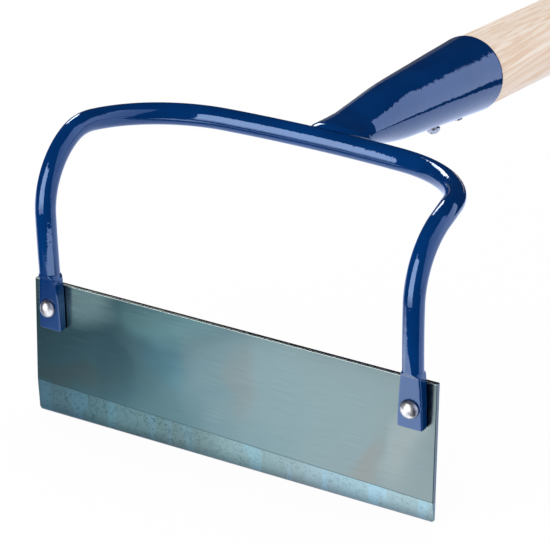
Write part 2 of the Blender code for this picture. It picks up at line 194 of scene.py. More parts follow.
def add_node(tree, kind, inputs=None, **settings):
    """A node with its settings. An input given as a socket is wired, anything else is its value."""
    made = tree.nodes.new(kind)
    for key, value in settings.items():
        setattr(made, key, value)
    for key, value in (inputs or {}).items():
        if isinstance(value, bpy.types.NodeSocket):
            tree.links.new(value, made.inputs[key])
        else:
            made.inputs[key].default_value = value
    return made


def maths(tree, operation, *values):
    made = add_node(tree, "ShaderNodeMath", dict(enumerate(values)), operation=operation)
    return made.outputs[0]


def vectors(tree, operation, *values):
    made = add_node(tree, "ShaderNodeVectorMath", dict(enumerate(values)), operation=operation)
    return made.outputs["Value" if operation in ("DOT_PRODUCT", "LENGTH") else "Vector"]


def scaled(tree, vector, amount):
    made = add_node(tree, "ShaderNodeVectorMath", {"Vector": vector, "Scale": amount}, operation="SCALE")
    return made.outputs["Vector"]


def ramp_between(tree, value, low, high, start=0.0, end=1.0, smooth=True):
    """Takes a value from low..high to start..end, held at both ends."""
    made = add_node(
        tree,
        "ShaderNodeMapRange",
        {"Value": value, "From Min": low, "From Max": high, "To Min": start, "To Max": end},
        interpolation_type="SMOOTHSTEP" if smooth else "LINEAR",
    )
    return made.outputs["Result"]


def blended(tree, share, first, second):
    """A colour between two colours."""
    made = add_node(tree, "ShaderNodeMix", {0: share, 6: first, 7: second}, data_type="RGBA")
    return made.outputs[2]


def noise_value(tree, vector, scale, detail=2.0, roughness=0.5):
    inputs = {"Vector": vector, "Scale": scale, "Detail": detail, "Roughness": roughness}
    return add_node(tree, "ShaderNodeTexNoise", inputs).outputs["Fac"]


# The bar tree: sections swept along a string of points

def bar_tree():
    """Sweeps a section along a path. Each point of the path holds the section's sizes.

    Where flat is 0 the section is a circle. Where it is 1 it is a forged one, with its own
    width and depth, squared corners, a shift, a narrower front on the right and a front face.
    """
    tree = bpy.data.node_groups.new("swept bar", "GeometryNodeTree")
    tree.interface.new_socket("Geometry", in_out="INPUT", socket_type="NodeSocketGeometry")
    tree.interface.new_socket("Sides", in_out="INPUT", socket_type="NodeSocketInt")
    tree.interface.new_socket("Across", in_out="INPUT", socket_type="NodeSocketVector")
    tree.interface.new_socket("Through", in_out="INPUT", socket_type="NodeSocketVector")
    tree.interface.new_socket("Unevenness", in_out="INPUT", socket_type="NodeSocketFloat")
    tree.interface.new_socket("Dents per metre", in_out="INPUT", socket_type="NodeSocketFloat")
    tree.interface.new_socket("Seed", in_out="INPUT", socket_type="NodeSocketFloat")
    tree.interface.new_socket("Material", in_out="INPUT", socket_type="NodeSocketMaterial")
    tree.interface.new_socket("Geometry", in_out="OUTPUT", socket_type="NodeSocketGeometry")
    given = add_node(tree, "NodeGroupInput").outputs

    def point_value(name):
        made = add_node(tree, "GeometryNodeInputNamedAttribute", {"Name": name}, data_type="FLOAT")
        return made.outputs["Attribute"]

    path = add_node(tree, "GeometryNodeMeshToCurve", {"Mesh": given["Geometry"]}).outputs["Curve"]
    place = add_node(tree, "GeometryNodeInputPosition").outputs["Position"]
    kept = add_node(tree, "GeometryNodeCaptureAttribute", {"Geometry": path}, domain="POINT")
    kept.capture_items.new("VECTOR", "Centre")
    tree.links.new(place, kept.inputs["Centre"])
    centre = kept.outputs["Centre"]
    ring = add_node(tree, "GeometryNodeCurvePrimitiveCircle", {"Resolution": given["Sides"], "Radius": 1.0})
    swept = add_node(
        tree,
        "GeometryNodeCurveToMesh",
        {"Curve": kept.outputs["Geometry"], "Profile Curve": ring.outputs["Curve"], "Fill Caps": True},
    )

    out = vectors(tree, "SUBTRACT", place, centre)
    across = vectors(tree, "DOT_PRODUCT", out, given["Across"])
    through = vectors(tree, "DOT_PRODUCT", out, given["Through"])

    def squared(value):
        size = maths(tree, "POWER", maths(tree, "ABSOLUTE", value), point_value("corner_power"))
        return maths(tree, "MULTIPLY", size, maths(tree, "SIGN", value))

    across, through = squared(across), squared(through)
    front = maths(tree, "MULTIPLY", maths(tree, "MINIMUM", through, 0.0), -1.0)
    right = maths(tree, "MAXIMUM", across, 0.0)
    drawn_in = maths(tree, "MULTIPLY", maths(tree, "MULTIPLY", front, right), point_value("narrowing"))
    across = maths(tree, "MULTIPLY", across, point_value("half_width"))
    across = maths(tree, "MULTIPLY", across, maths(tree, "SUBTRACT", 1.0, drawn_in))
    through = maths(tree, "MULTIPLY", through, point_value("half_depth"))
    through = maths(tree, "MAXIMUM", through, maths(tree, "MULTIPLY", point_value("front_face"), -1.0))
    across = maths(tree, "ADD", across, point_value("shift_across"))
    through = maths(tree, "ADD", through, point_value("shift_through"))
    forged = vectors(
        tree,
        "ADD",
        scaled(tree, given["Across"], across),
        scaled(tree, given["Through"], through),
    )
    round_section = scaled(tree, out, point_value("half_width"))
    mixed = add_node(
        tree,
        "ShaderNodeMix",
        {0: point_value("flat"), 4: round_section, 5: forged},
        data_type="VECTOR",
    )
    shaped = add_node(
        tree,
        "GeometryNodeSetPosition",
        {"Geometry": swept.outputs["Mesh"], "Position": vectors(tree, "ADD", centre, mixed.outputs[1])},
    )
    hills = add_node(
        tree,
        "ShaderNodeTexNoise",
        {"Vector": place, "W": given["Seed"], "Scale": given["Dents per metre"], "Detail": 1.0},
        noise_dimensions="4D",
    )
    lift = maths(tree, "MULTIPLY", maths(tree, "SUBTRACT", hills.outputs["Fac"], 1.0), given["Unevenness"])
    normal = add_node(tree, "GeometryNodeInputNormal").outputs["Normal"]
    uneven = add_node(
        tree,
        "GeometryNodeSetPosition",
        {"Geometry": shaped.outputs["Geometry"], "Offset": scaled(tree, normal, lift)},
    )
    smooth = add_node(tree, "GeometryNodeSetShadeSmooth", {"Geometry": uneven.outputs["Geometry"]})
    real = add_node(tree, "GeometryNodeRealizeInstances", {"Geometry": smooth.outputs["Geometry"]})
    finished = add_node(
        tree,
        "GeometryNodeSetMaterial",
        {"Geometry": real.outputs["Geometry"], "Material": given["Material"]},
    )
    add_node(tree, "NodeGroupOutput", {"Geometry": finished.outputs["Geometry"]})
    return tree


def set_inputs(modifier, values):
    """Sets a node tree's inputs, which a modifier keeps by identifier."""
    for item in modifier.node_group.interface.items_tree:
        if item.in_out == "INPUT" and item.name in values:
            modifier[item.identifier] = values[item.name]


def settled(obj):
    """Bakes an object's modifiers into its own mesh."""
    graph = bpy.context.evaluated_depsgraph_get()
    mesh = bpy.data.meshes.new_from_object(obj.evaluated_get(graph), depsgraph=graph)
    obj.modifiers.clear()
    old = obj.data
    obj.data = mesh
    bpy.data.meshes.remove(old)
    return obj


def linked(name, mesh):
    obj = bpy.data.objects.new(name, mesh)
    bpy.context.scene.collection.objects.link(obj)
    return obj


def swept_bar(name, points, sections, material, sides=48, across=ACROSS, through=BACK, **uneven):
    """A bar along points. Sections maps a section size's name to its value at each point."""
    mesh = bpy.data.meshes.new(name)
    mesh.from_pydata(points, [(i, i + 1) for i in range(len(points) - 1)], [])
    for key, values in sections.items():
        layer = mesh.attributes.new(key, "FLOAT", "POINT")
        layer.data.foreach_set("value", values)
    obj = linked(name, mesh)
    modifier = obj.modifiers.new("swept bar", "NODES")
    modifier.node_group = BAR_TREE
    values = {
        "Sides": sides,
        "Across": tuple(across),
        "Through": tuple(through),
        "Unevenness": uneven.get("height", 0.0),
        "Dents per metre": uneven.get("dents", 100.0),
        "Seed": uneven.get("seed", 0.0),
        "Material": material,
    }
    set_inputs(modifier, values)
    settled(obj)
    bm = bmesh.new()
    bm.from_mesh(obj.data)
    bmesh.ops.recalc_face_normals(bm, faces=bm.faces)
    bm.to_mesh(obj.data)
    bm.free()
    return obj


def cut_out(obj, *cutters):
    """Takes the cutters out of an object for good, and removes them."""
    for cutter in cutters:
        modifier = obj.modifiers.new("cut", "BOOLEAN")
        modifier.operation = "DIFFERENCE"
        modifier.object = cutter
    settled(obj)
    for cutter in cutters:
        bpy.data.objects.remove(cutter)
    return obj


def finished(obj, slot, *nodes, sharp=35):
    """Puts a piece where the frame has it, in place of its nodes."""
    obj.data.transform(PLACE)
    obj.data.shade_smooth()
    obj.data.set_sharp_from_angle(angle=math.radians(sharp))
    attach(obj, "root")
    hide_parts(*nodes)
    return obj


def turned(name, profile, base, axis, material, sides=48, **uneven):
    """A turned piece. The profile lists (distance along the axis, radius)."""
    points = [base + axis * along for along, radius in profile]
    radii = [radius for along, radius in profile]
    return swept_bar(name, points, {"half_width": radii}, material, sides, **uneven)


def dome(start, radius, height, steps=14):
    """Profile points of a domed head, from its edge to a small flat at its crown."""
    crown = math.radians(88)
    turns = [crown * i / steps for i in range(steps + 1)]
    return [(start + height * math.sin(turn), radius * math.cos(turn)) for turn in turns]


def evenly(start, end, steps):
    return [start + (end - start) * i / steps for i in range(steps + 1)]


# Bow

def half_bow_plan(step=0.0006):
    """Half of the bow before its legs are bent down, as (x, distance past the bend)."""
    corner_sweep = math.pi / 2 - CROWN_ANGLE
    corner_end_x = LEG_SPACING - CORNER_RADIUS * (1 - math.cos(corner_sweep))
    crown_radius = corner_end_x / math.sin(CROWN_ANGLE)
    crown_rise = crown_radius * (1 - math.cos(CROWN_ANGLE))
    corner_start = BOW_REACH - crown_rise - CORNER_RADIUS * math.sin(corner_sweep)
    plan = [(LEG_SPACING, reach) for reach in evenly(0.0, corner_start, round(corner_start / step))]
    for turn in evenly(0.0, corner_sweep, round(corner_sweep * CORNER_RADIUS / step))[1:]:
        x = LEG_SPACING - CORNER_RADIUS * (1 - math.cos(turn))
        plan.append((x, corner_start + CORNER_RADIUS * math.sin(turn)))
    for turn in evenly(CROWN_ANGLE, 0.0, round(CROWN_ANGLE * crown_radius / step))[1:]:
        plan.append((crown_radius * math.sin(turn), BOW_REACH - crown_radius * (1 - math.cos(turn))))
    return plan


def rolled(x, reach):
    """Places a point of the flat plan round the bend at the top of the left leg."""
    turn = min(reach / BEND_RADIUS, BEND_ANGLE)
    y = LEG_Y + BEND_RADIUS * (1 - math.cos(turn))
    z = BEND_START_Z + BEND_RADIUS * math.sin(turn)
    past = max(0.0, reach - BEND_RADIUS * BEND_ANGLE)
    return Vector((-x, y + past * math.sin(BEND_ANGLE), z + past * math.cos(BEND_ANGLE)))


def between(start, end, share):
    return start + (end - start) * share


def leg_stations(leg):
    """Heights up a leg, with its section sizes at each: lug, shoulder, run-out, round bar."""
    stations = []

    def leg_lean(z):
        """How far the leg's middle stands behind its upper part: it leans forward as it goes up."""
        share = (BEND_START_Z - z) / (BEND_START_Z - LUG_TOP_Z)
        return leg["lean"] * share ** leg["lean power"]

    def lug(z, share, inset=0.0):
        """A lug section, at its foot where share is 0 and at its top where share is 1."""
        half_width = between(*leg["widths"], share**LUG_WIDENING) / 2 - inset
        half_depth = between(LUG_THICKNESS, LUG_TOP_THICKNESS, share) / 2
        shift = -GAP - half_depth - LEG_Y
        half_depth -= inset
        narrowing = leg["drawn in"] * share**8
        inwards = between(*leg["inwards"], share)
        power = 2 / LUG_SQUARENESS
        stations.append((z, half_width, half_depth, power, narrowing, half_depth, inwards, shift, 1.0))

    for turn in evenly(0.0, math.pi / 2, 5):
        inset = LUG_FOOT_ROUND * (1 - math.sin(turn))
        lug(LUG_FOOT_Z + LUG_FOOT_ROUND * (1 - math.cos(turn)), 0.0, inset)
    rise_start, rise_end = LUG_FOOT_Z + LUG_FOOT_ROUND, LUG_TOP_Z - LUG_SHOULDER
    for share in evenly(0.0, 1.0, 44)[1:]:
        lug(between(rise_start, rise_end, share), share)
    top_width, top_depth = leg["widths"][1] / 2, LUG_TOP_THICKNESS / 2
    top_shift = -GAP - top_depth - LEG_Y
    runout_start = LUG_TOP_Z + GAP
    lean = leg_lean(runout_start)
    bar_face = LEG_RADIUS - RUNOUT_DEPTH
    for share in evenly(0.0, 1.0, 8)[1:-1]:
        eased = share * share * (3 - 2 * share)
        z = between(rise_end, runout_start, share)
        width = between(top_width, LEG_RADIUS, eased)
        depth = between(top_depth, LEG_RADIUS, eased)
        power = 2 / between(LUG_SQUARENESS, 2.0, eased**0.35)
        narrowing = leg["drawn in"] * (1 - eased)
        face = between(top_depth, bar_face, eased)
        inwards = between(leg["inwards"][1], 0.0, eased)
        shift = between(top_shift, lean, eased)
        stations.append((z, width, depth, power, narrowing, face, inwards, shift, 1.0))
    for share in evenly(0.0, 1.0, 14):
        z = runout_start + RUNOUT_LENGTH * share
        face = LEG_RADIUS - RUNOUT_DEPTH * (1 - share)
        stations.append((z, LEG_RADIUS, LEG_RADIUS, 1.0, 0.0, face, 0.0, leg_lean(z), 1.0))
    for z in evenly(runout_start + RUNOUT_LENGTH, BEND_START_Z, 28)[1:-1]:
        stations.append((z, LEG_RADIUS, LEG_RADIUS, 1.0, 0.0, LEG_RADIUS, 0.0, leg_lean(z), 1.0))
    return stations


def make_bow(material):
    """One bar from lug to lug, a little thinner in its legs, with seats for its rivets."""
    keys = (
        "half_width",
        "half_depth",
        "corner_power",
        "narrowing",
        "front_face",
        "shift_across",
        "shift_through",
        "flat",
    )

    def half(sign, leg):
        points, sizes = [], []
        for z, *leg_sizes in leg_stations(leg):
            points.append(Vector((sign * LEG_SPACING, LEG_Y, z)))
            leg_sizes[5] *= -sign
            sizes.append(leg_sizes)
        for x, reach in half_bow_plan():
            point = rolled(x, reach)
            points.append(Vector((-sign * point.x, point.y, point.z)))
            radius = LEG_RADIUS + (BAR_RADIUS - LEG_RADIUS) * reach / BOW_REACH
            sizes.append([radius, radius, 1.0, 0.0, radius, 0.0, 0.0, 0.0])
        return points, sizes

    left, left_sizes = half(-1, LEFT_LEG)
    right, right_sizes = half(1, RIGHT_LEG)
    points = left + right[-2::-1]
    sizes = left_sizes + right_sizes[-2::-1]
    sections = {key: [row[i] for row in sizes] for i, key in enumerate(keys)}
    bow = swept_bar("bow_bar", points, sections, material, 64, height=0.00005, dents=90.0)
    holes = [rivet_hole(sign, material) for sign in (-1, 1)]
    seats = [rivet_seat(sign, material) for sign in (-1, 1)]
    return finished(cut_out(bow, *holes, *seats), "blue_enamel", "bow")


def rivet_base(sign):
    """Where a rivet's axis meets the blade's front."""
    higher = LEFT_RIVET_HIGHER if sign < 0 else 0.0
    return Vector((sign * LUG_SPACING + RIVET_SHIFT, 0.0, RIVET_Z + higher))


def rivet_seat(sign, material):
    """What is struck out of a lug round its rivet's head, off towards the head's upper right."""
    base = rivet_base(sign) + Vector((SEAT_OFFSET, 0.0, SEAT_OFFSET))
    radius = (RIVET_HEAD_RADIUS if sign > 0 else LEFT_RIVET_HALF_WIDTH) + SEAT_WIDTH
    profile = [(GAP + SEAT_THICKNESS, radius), (SEAT_REACH, radius)]
    return turned("rivet seat", profile, base, -BACK, material, 64)


def rivet_hole(sign, material):
    reach = 0.012
    radius = RIVET_SHANK_RADIUS + GAP
    return turned("rivet hole", [(-reach, radius), (reach, radius)], rivet_base(sign), BACK, material)


# Blade

def make_blade(material):
    """A plate with a ground bevel, higher at one end, a thin honed strip and softened arrises."""
    half = BLADE_WIDTH / 2
    land_y = BLADE_THICKNESS - EDGE_LAND
    stations = [-half, -half + BLADE_CORNER]
    stations += evenly(-half + 2 * BLADE_CORNER, half - 2 * BLADE_CORNER, 260)
    stations += [half - BLADE_CORNER, half]
    bm = bmesh.new()
    loops = []
    for x in stations:
        share = (x + half) / BLADE_WIDTH
        bevel = BEVEL_HEIGHT_LEFT + (BEVEL_HEIGHT_RIGHT - BEVEL_HEIGHT_LEFT) * share
        bevel += 0.00012 * noise.noise(Vector((x * 90, 0.0, 3.0)))
        nick = 0.00008 * abs(noise.noise(Vector((x * 700, 2.0, 0.0))))
        foot = BLADE_CORNER if abs(x) == half else nick
        section = [
            (x, land_y, foot),
            (x, BLADE_THICKNESS, foot),
            (x, BLADE_THICKNESS, BLADE_HEIGHT),
            (x, 0.0, BLADE_HEIGHT),
            (x, 0.0, bevel),
            (x, HONED_DEPTH, HONED_HEIGHT + foot),
        ]
        loops.append([bm.verts.new(point) for point in section])
    ground = bm.faces.layers.int.new("ground")
    for near, far in zip(loops, loops[1:]):
        for i in range(6):
            j = (i + 1) % 6
            face = bm.faces.new((near[i], far[i], far[j], near[j]))
            face[ground] = {4: 1, 5: 2}.get(i, 0)
    bm.faces.new(loops[0])
    bm.faces.new(reversed(loops[-1]))
    bmesh.ops.recalc_face_normals(bm, faces=bm.faces)
    mesh = bpy.data.meshes.new("blade_plate")
    bm.to_mesh(mesh)
    bm.free()
    mesh.materials.append(material)
    blade = linked("blade_plate", mesh)
    arris = blade.modifiers.new("arris", "BEVEL")
    arris.width = 0.00022
    arris.segments = 3
    arris.limit_method = "ANGLE"
    arris.angle_limit = math.radians(40)
    holes = [rivet_hole(sign, material) for sign in (-1, 1)]
    return finished(cut_out(blade, *holes), "ground_steel", "blade", sharp=3)


# Rivets

def make_rivet(sign, material):
    """Hammered head in front of the lug, shank through lug and blade, low tail behind."""
    head_base = SEAT_THICKNESS + 2 * GAP
    tail_base = -BLADE_THICKNESS - GAP
    tail = dome(-tail_base, RIVET_TAIL_RADIUS, RIVET_TAIL_HEIGHT)
    profile = [(-along, radius) for along, radius in reversed(tail)]
    profile += [(tail_base + 0.00001, RIVET_SHANK_RADIUS), (head_base - 0.00001, RIVET_SHANK_RADIUS)]
    profile += dome(head_base, RIVET_HEAD_RADIUS, RIVET_HEAD_HEIGHT, 20)
    side = "right" if sign > 0 else "left"
    base = rivet_base(sign)
    rivet = turned(f"{side}_rivet", profile, base, -BACK, material, 64, height=0.00009, dents=330.0, seed=sign)
    if sign < 0:
        squeeze = LEFT_RIVET_HALF_WIDTH / RIVET_HEAD_RADIUS
        for vertex in rivet.data.vertices:
            if vertex.co.y < -SEAT_THICKNESS - GAP:
                vertex.co.x = base.x + (vertex.co.x - base.x) * squeeze
    return finished(rivet, "bright_steel", f"rivet_{side}")


# Socket and welds

def socket_axes():
    """Rim centre, and the socket's directions: back along the handle, and up."""
    back = Vector((0, math.cos(SOCKET_DIP), -math.sin(SOCKET_DIP)))
    return Vector((SOCKET_X, RIM_Y, RIM_Z)), back, ACROSS.cross(back)


def socket_section(before_rim):
    """Middle, half width and half height of the socket's skin at a distance before its rim."""
    rim, back, up = socket_axes()
    width = RIM_RADIUS + (NOSE_HALF_WIDTH - RIM_RADIUS) * before_rim / SOCKET_LENGTH
    share = (before_rim - FLATTENING_START) / (SOCKET_LENGTH - FLATTENING_START)
    share = min(max(share, 0.0), 1.0)
    pressed = share * share * (3 - 2 * share)
    top = width - (NOSE_HALF_WIDTH - NOSE_TOP) * pressed
    bottom = width - (NOSE_HALF_WIDTH - NOSE_BOTTOM) * pressed
    middle = rim - back * before_rim + up * (top - bottom) / 2
    return middle, width, (top + bottom) / 2


def socket_ring(before_rim, growth, sides, dents=0.0):
    """A ring round the socket, this much outside its skin, with shallow dents."""
    up = socket_axes()[2]
    middle, width, height = socket_section(before_rim)
    ring = []
    for i in range(sides):
        angle = 2 * math.pi * i / sides
        spoke = ACROSS * math.cos(angle) + up * math.sin(angle)
        hill = noise.noise(Vector((spoke.x * 1.6, before_rim * 75, spoke.z * 1.6))) - 1.0
        across = ACROSS * ((width + growth) * math.cos(angle))
        ring.append(middle + across + up * ((height + growth) * math.sin(angle)) + spoke * (hill * dents))
    return ring


def add_loft(bm, rings):
    loops = [[bm.verts.new(point) for point in ring] for ring in rings]
    count = len(loops[0])
    for near, far in zip(loops, loops[1:]):
        for i in range(count):
            j = (i + 1) % count
            bm.faces.new((near[i], near[j], far[j], far[i]))
    bm.faces.new(loops[0])
    bm.faces.new(reversed(loops[-1]))


def loft_object(name, rings, material):
    bm = bmesh.new()
    add_loft(bm, rings)
    bmesh.ops.recalc_face_normals(bm, faces=bm.faces)
    mesh = bpy.data.meshes.new(name)
    bm.to_mesh(mesh)
    bm.free()
    mesh.materials.append(material)
    return linked(name, mesh)


def fastener_axes(before_rim):
    """A point on the socket's skin, and the direction out of it, for a fastener below."""
    rim, back, up = socket_axes()
    out = ACROSS * math.sin(FASTENER_TURN) - up * math.cos(FASTENER_TURN)
    skin_radius = socket_section(before_rim)[1]
    return rim - back * before_rim + out * skin_radius, out


def fastener_hole(before_rim, radius, length, material):
    base, out = fastener_axes(before_rim)
    profile = [(-length - GAP, radius + GAP), (0.004, radius + GAP)]
    return turned("fastener hole", profile, base, out, material)


def fastener_holes(material):
    return [
        fastener_hole(SCREW_FROM_RIM, SCREW_SHANK_RADIUS, SCREW_LENGTH, material),
        fastener_hole(NAIL_FROM_RIM, NAIL_SHANK_RADIUS, NAIL_LENGTH, material),
    ]


def make_socket(material):
    """Skin from nose to rim, a rounded rim, and the bore back in."""
    sides = 128
    nose_round, rim_round, dents = 0.0006, 0.00045, 0.00005
    rings = []
    for turn in evenly(0.0, math.pi / 2, 4)[:-1]:
        inset = nose_round * (1 - math.sin(turn))
        rings.append(socket_ring(SOCKET_LENGTH - nose_round * (1 - math.cos(turn)), -inset, sides, dents))
    for before_rim in evenly(SOCKET_LENGTH - nose_round, rim_round, 130):
        rings.append(socket_ring(before_rim, 0.0, sides, dents))
    for turn in evenly(0.0, math.pi / 2, 4)[1:]:
        inset = rim_round * (1 - math.cos(turn))
        rings.append(socket_ring(rim_round * (1 - math.sin(turn)), -inset, sides, dents))
    for before_rim in evenly(0.0, SOCKET_BORE_DEPTH, 40):
        rings.append(socket_ring(before_rim, -SOCKET_WALL, sides))
    socket = loft_object("socket_shell", rings, material)
    return finished(cut_out(socket, *fastener_holes(material)), "blue_enamel", "socket")


def bar_room(material):
    middle = rolled(0.0, BOW_REACH)
    reach = 0.030
    radius = BAR_RADIUS + SEAM
    return turned("bar room", [(-reach, radius), (reach, radius)], middle, ACROSS, material, 96)


def nose_room(material):
    stations = evenly(SOCKET_LENGTH + SEAM, FLATTENING_START, 40)
    return loft_object("nose room", [socket_ring(s, SEAM, 96) for s in stations], material)


def mound_rise(along):
    """Height of the upper weld over the nose's skin, this far behind the nose's end."""
    if along < 0:
        share = -along / MOUND_FRONT
        return MOUND_HEIGHT - (MOUND_HEIGHT + MOUND_FALL) * share * share
    share = along / MOUND_BACK
    return MOUND_HEIGHT * (1 - share * share * (3 - 2 * share))


def make_upper_weld(material):
    """A fillet from the socket's nose onto the crossbar, wider and wrinkled towards the right."""
    back, up = socket_axes()[1:]
    rings = []
    for angle in evenly(MOUND_FROM, MOUND_TO, 150):
        share = (MOUND_FROM - angle) / (MOUND_FROM - MOUND_TO)
        wrinkled = max(0.0, share - 0.5) * 0.0012
        widest = MOUND_RIGHT_FLARE if math.cos(angle) > 0 else MOUND_LEFT_FLARE
        skin, inside = [], []
        for along in evenly(-MOUND_FRONT, MOUND_BACK, 48):
            before_rim = SOCKET_LENGTH - max(along, 0.0)
            middle, width, height = socket_section(before_rim)
            middle = middle + back * min(along, 0.0)
            spread = (MOUND_BACK - along) / (MOUND_BACK + MOUND_FRONT)
            fold = noise.noise(Vector((angle * 4.0, along * 230.0, 7.0)))
            rise = mound_rise(along) + wrinkled * fold * spread
            flare = widest * spread**2.4
            lifted = math.sin(angle) ** between(1.0, 0.4, spread * spread)
            skin.append(
                middle
                + ACROSS * ((width + rise + flare) * math.cos(angle))
                + up * ((height + rise) * lifted)
            )
            inside.append(
                middle
                + ACROSS * ((width - MOUND_SUNK) * math.cos(angle))
                + up * ((height - MOUND_SUNK) * math.sin(angle))
            )
        rings.append(skin + inside[::-1])
    weld = loft_object("upper_weld_mound", rings, material)
    cut_out(weld, nose_room(material), bar_room(material))
    return finished(weld, "blue_enamel", "weld_top")


def make_lower_weld(material):
    """A rippled bead round the lower half of the nose, against the crossbar."""
    up = socket_axes()[2]
    nose, half_width, half_height = socket_section(SOCKET_LENGTH)
    sunk = UNDER_WELD_RADIUS * 0.4
    half_width -= sunk
    half_height -= sunk
    path, radii = [], []
    for share in evenly(0.0, 1.0, 150):
        angle = math.radians(between(170, 60, share))
        path.append(nose + ACROSS * (half_width * math.cos(angle)) - up * (half_height * math.sin(angle)))
        taper = min(1.0, 0.25 + 1.4 * share, 0.30 + 3.2 * (1 - share))
        ripple = 1 + WELD_RIPPLE * math.cos(2 * math.pi * WELD_RIPPLES * share)
        radii.append(UNDER_WELD_RADIUS * taper * ripple)
    sizes = {"half_width": radii}
    weld = swept_bar("lower_weld_bead", path, sizes, material, 40)
    cut_out(weld, nose_room(material), bar_room(material))
    return finished(weld, "blue_enamel", "weld_bottom")


# Handle and its fasteners

def make_handle(material):
    """A tapered end that fills the socket's bore, then a long round pole with a rounded butt."""
    rim, back, up = socket_axes()
    clearance = SOCKET_WALL + GAP
    points, widths, heights, shifts, flats = [], [], [], [], []

    def station(point, width, height, shift, flat):
        for values, value in zip((points, widths, heights, shifts, flats), (point, width, height, shift, flat)):
            values.append(value)

    for before_rim in evenly(HANDLE_INSERTION, 0.0, 30):
        middle, width, height = socket_section(before_rim)
        axis_point = rim - back * before_rim
        shift = (middle - axis_point).dot(up)
        station(axis_point, width - clearance, height - clearance, shift, 1.0)
    beyond = HANDLE_LENGTH - HANDLE_INSERTION
    station(rim + back * SHOULDER_LENGTH, HANDLE_RADIUS, HANDLE_RADIUS, 0.0, 1.0)
    for along in evenly(0.006, beyond - BUTT_ROUNDING, 260)[:-1]:
        station(rim + back * along, HANDLE_RADIUS, HANDLE_RADIUS, 0.0, 1.0)
    for turn in evenly(0.0, math.pi / 2, 10):
        radius = HANDLE_RADIUS - BUTT_ROUNDING * (1 - math.cos(turn))
        along = beyond - BUTT_ROUNDING * (1 - math.sin(turn))
        station(rim + back * along, radius, radius, 0.0, 1.0)
    ones = [1.0] * len(points)
    sections = {
        "half_width": widths,
        "half_depth": heights,
        "corner_power": ones,
        "front_face": ones,
        "shift_through": shifts,
        "flat": flats,
    }
    handle = swept_bar("ash_pole", points, sections, material, 96, through=up)
    return finished(cut_out(handle, *fastener_holes(material)), "ash_wood", "handle")


def make_screw(material):
    base, out = fastener_axes(SCREW_FROM_RIM)
    point = 3 * SCREW_SHANK_RADIUS
    profile = [(-SCREW_LENGTH, SCREW_SHANK_RADIUS * 0.15), (-SCREW_LENGTH + point, SCREW_SHANK_RADIUS)]
    profile += [(GAP - 0.00001, SCREW_SHANK_RADIUS)] + dome(GAP, SCREW_HEAD_RADIUS, SCREW_HEAD_HEIGHT)
    screw = turned("screw", profile, base, out, material)
    back = socket_axes()[1]
    side = out.cross(back)
    half_height = 0.002
    middle = base + out * (GAP + SCREW_HEAD_HEIGHT - SCREW_SLOT_DEPTH + half_height)
    bm = bmesh.new()
    bmesh.ops.create_cube(bm, size=1.0)
    turn = Matrix((back * 0.02, side * SCREW_SLOT_WIDTH, out * 2 * half_height)).transposed()
    bmesh.ops.transform(bm, matrix=turn.to_4x4(), verts=bm.verts)
    bmesh.ops.translate(bm, vec=middle, verts=bm.verts)
    bmesh.ops.recalc_face_normals(bm, faces=bm.faces)
    mesh = bpy.data.meshes.new("slot")
    bm.to_mesh(mesh)
    bm.free()
    return finished(cut_out(screw, linked("slot", mesh)), "bright_steel", "socket_screw")


def make_nail(material):
    base, out = fastener_axes(NAIL_FROM_RIM)
    point = 3 * NAIL_SHANK_RADIUS
    top = GAP + NAIL_HEAD_HEIGHT
    profile = [(-NAIL_LENGTH, NAIL_SHANK_RADIUS * 0.15), (-NAIL_LENGTH + point, NAIL_SHANK_RADIUS)]
    profile += [(GAP - 0.00001, NAIL_SHANK_RADIUS), (GAP, NAIL_HEAD_RADIUS), (top - 0.0002, NAIL_HEAD_RADIUS)]
    profile += [(top, NAIL_HEAD_RADIUS * 0.8)]
    return finished(turned("nail", profile, base, out, material), "bright_steel", "socket_nail")


# Finishes

def new_material(name):
    """A material, its tree and shader, and the place of a point in the tool's own frame."""
    material = bpy.data.materials.new(name)
    material.use_nodes = True
    tree = material.node_tree
    placed = {
        "Vector": add_node(tree, "ShaderNodeTexCoord").outputs["Object"],
        "Location": PLACE.translation,
        "Rotation": PLACE.to_euler(),
    }
    own_frame = add_node(tree, "ShaderNodeMapping", placed, vector_type="TEXTURE")
    return material, tree, tree.nodes["Principled BSDF"], own_frame.outputs["Vector"]


def new_effect(name, inputs, outputs):
    """An empty shader node group. Inputs and outputs map a socket's name to its kind."""
    tree = bpy.data.node_groups.new(name, "ShaderNodeTree")
    for label, kind in inputs.items():
        tree.interface.new_socket(label, in_out="INPUT", socket_type=f"NodeSocket{kind}")
    for label, kind in outputs.items():
        tree.interface.new_socket(label, in_out="OUTPUT", socket_type=f"NodeSocket{kind}")
    return tree, add_node(tree, "NodeGroupInput").outputs


def cloudy_effect():
    """Soft clouds: a value between Low and High."""
    inputs = {"Vector": "Vector", "Scale": "Float", "Low": "Float", "High": "Float"}
    tree, given = new_effect("soft clouds", inputs, {"Value": "Float"})
    cloud = noise_value(tree, given["Vector"], given["Scale"])
    value = ramp_between(tree, cloud, 0.3, 0.7, given["Low"], given["High"])
    add_node(tree, "NodeGroupOutput", {"Value": value})
    return tree


def fine_lines_effect():
    """Fine lines along the direction with the smallest stretch: a value, and a normal that shows them."""
    inputs = {"Vector": "Vector", "Stretch": "Vector", "Turn": "Vector", "Depth": "Float"}
    tree, given = new_effect("fine lines", inputs, {"Value": "Float", "Normal": "Vector"})
    mapped = {"Vector": given["Vector"], "Scale": given["Stretch"], "Rotation": given["Turn"]}
    space = add_node(tree, "ShaderNodeMapping", mapped).outputs["Vector"]
    lines = noise_value(tree, space, 1.0, 3.0, 0.62)
    relief = add_node(tree, "ShaderNodeBump", {"Height": lines, "Distance": given["Depth"]})
    add_node(tree, "NodeGroupOutput", {"Value": lines, "Normal": relief.outputs["Normal"]})
    return tree


